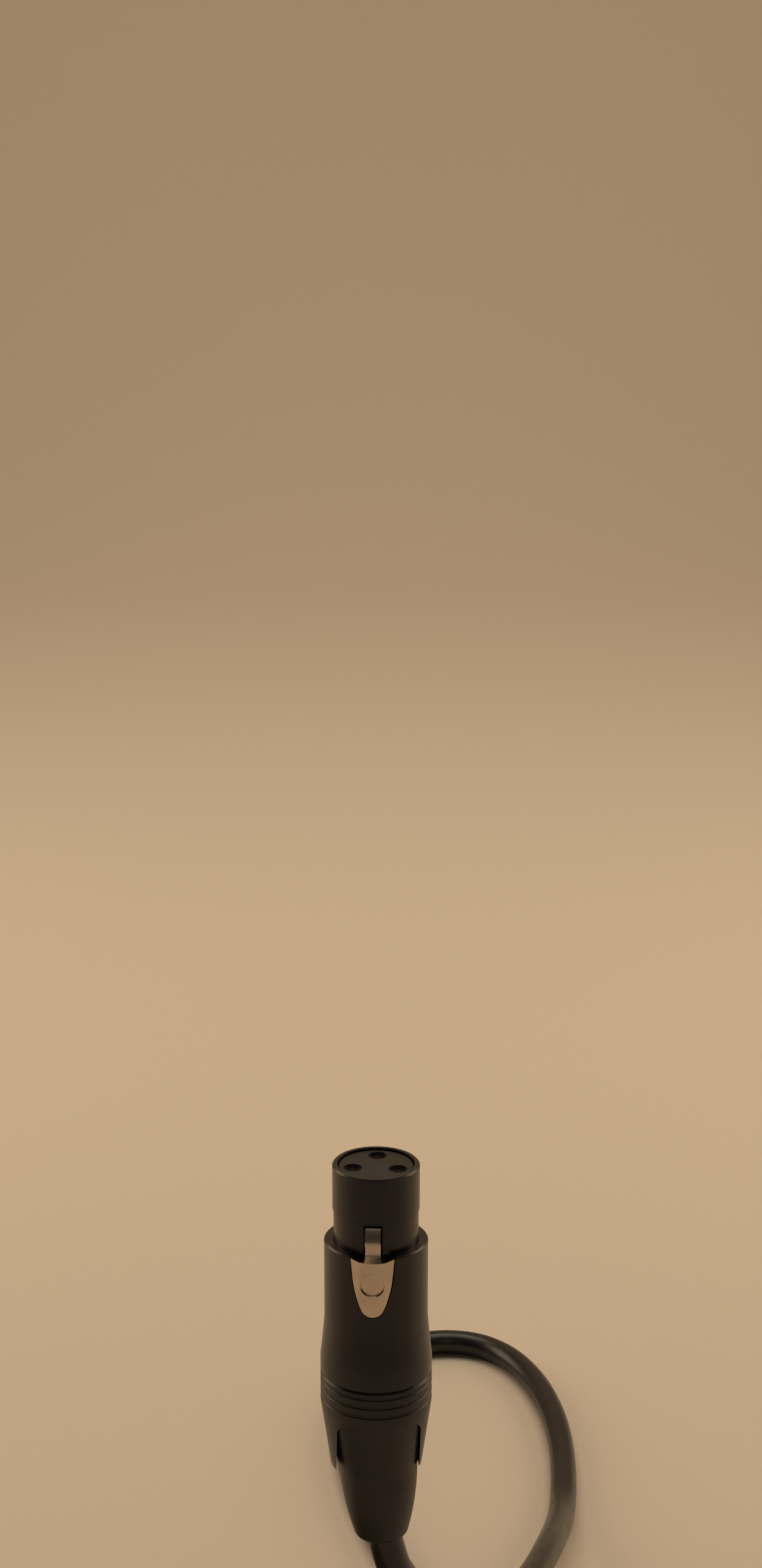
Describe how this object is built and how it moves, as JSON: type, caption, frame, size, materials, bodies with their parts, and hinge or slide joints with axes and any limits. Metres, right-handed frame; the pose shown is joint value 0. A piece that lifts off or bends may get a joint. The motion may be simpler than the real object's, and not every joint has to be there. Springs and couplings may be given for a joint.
{
  "type": "xlr microphone cable",
  "caption": "Black microphone cable with a female latching connector held mouth up, one loose loop on the desk, a tied coil and a male connector on its far end.",
  "frame": {"origin": "centre of the female connector's nose end face", "axes": "+Z out of the female connector's mouth, -Y towards the side that the push latch faces, the desk level at z = -0.149 m"},
  "size_m": [0.124, 0.2556, 0.149],
  "materials": {
    "black_shell": "satin black lacquer on die-cast zinc",
    "contact_carrier": "matte black",
    "contact_metal": "silver plated, bright",
    "nickel": "bright nickel plate",
    "spring_steel": "satin",
    "collet_plastic": "matte, glass filled",
    "boot_ring_plastic": "satin black",
    "boot_sleeve_rubber": "soft satin black",
    "cable_jacket": "semi-matte black PVC",
    "bare_copper": "bright strands",
    "red_insulation": "smooth",
    "white_insulation": "smooth",
    "hook_and_loop": "looped nylon"
  },
  "bodies": {
    "root": {"female_shell": "black_shell", "female_insert": "contact_carrier", "female_ground_strip": "spring_steel", "female_chuck": "collet_plastic", "latch_pin": "spring_steel", "latch_spring": "spring_steel", "female_contact_1": "contact_metal", "female_contact_2": "contact_metal", "female_contact_3": "contact_metal", "female_drain": "bare_copper", "female_core_hot": "red_insulation", "female_core_cold": "white_insulation", "female_boot_nut": "boot_ring_plastic", "female_boot_sleeve": "boot_sleeve_rubber", "female_jacket_end": "cable_jacket", "male_shell": "black_shell", "male_insert": "contact_carrier", "male_ground_strip": "spring_steel", "male_chuck": "collet_plastic", "male_pin_1": "contact_metal", "male_pin_2": "contact_metal", "male_pin_3": "contact_metal", "male_drain": "bare_copper", "male_core_hot": "red_insulation", "male_core_cold": "white_insulation", "male_boot_nut": "boot_ring_plastic", "male_boot_sleeve": "boot_sleeve_rubber", "male_jacket_end": "cable_jacket", "cable_run": "cable_jacket", "cable_coil": "cable_jacket", "cable_tail": "cable_jacket", "cable_tie": "hook_and_loop"},
    "latch": {"latch_lever": "nickel"}
  },
  "joints": [
    {"name": "latch_press", "type": "hinge", "parent": "root", "child": "latch", "pos_m": [-0.00054, -0.00768, -0.0243], "axis": [-0.9976, 0.0698, 0], "range_deg": [0, 5], "stiffness_Nm_per_rad": 0.25, "springref_deg": -2.86, "deforming": ["latch_spring"]}
  ]
}
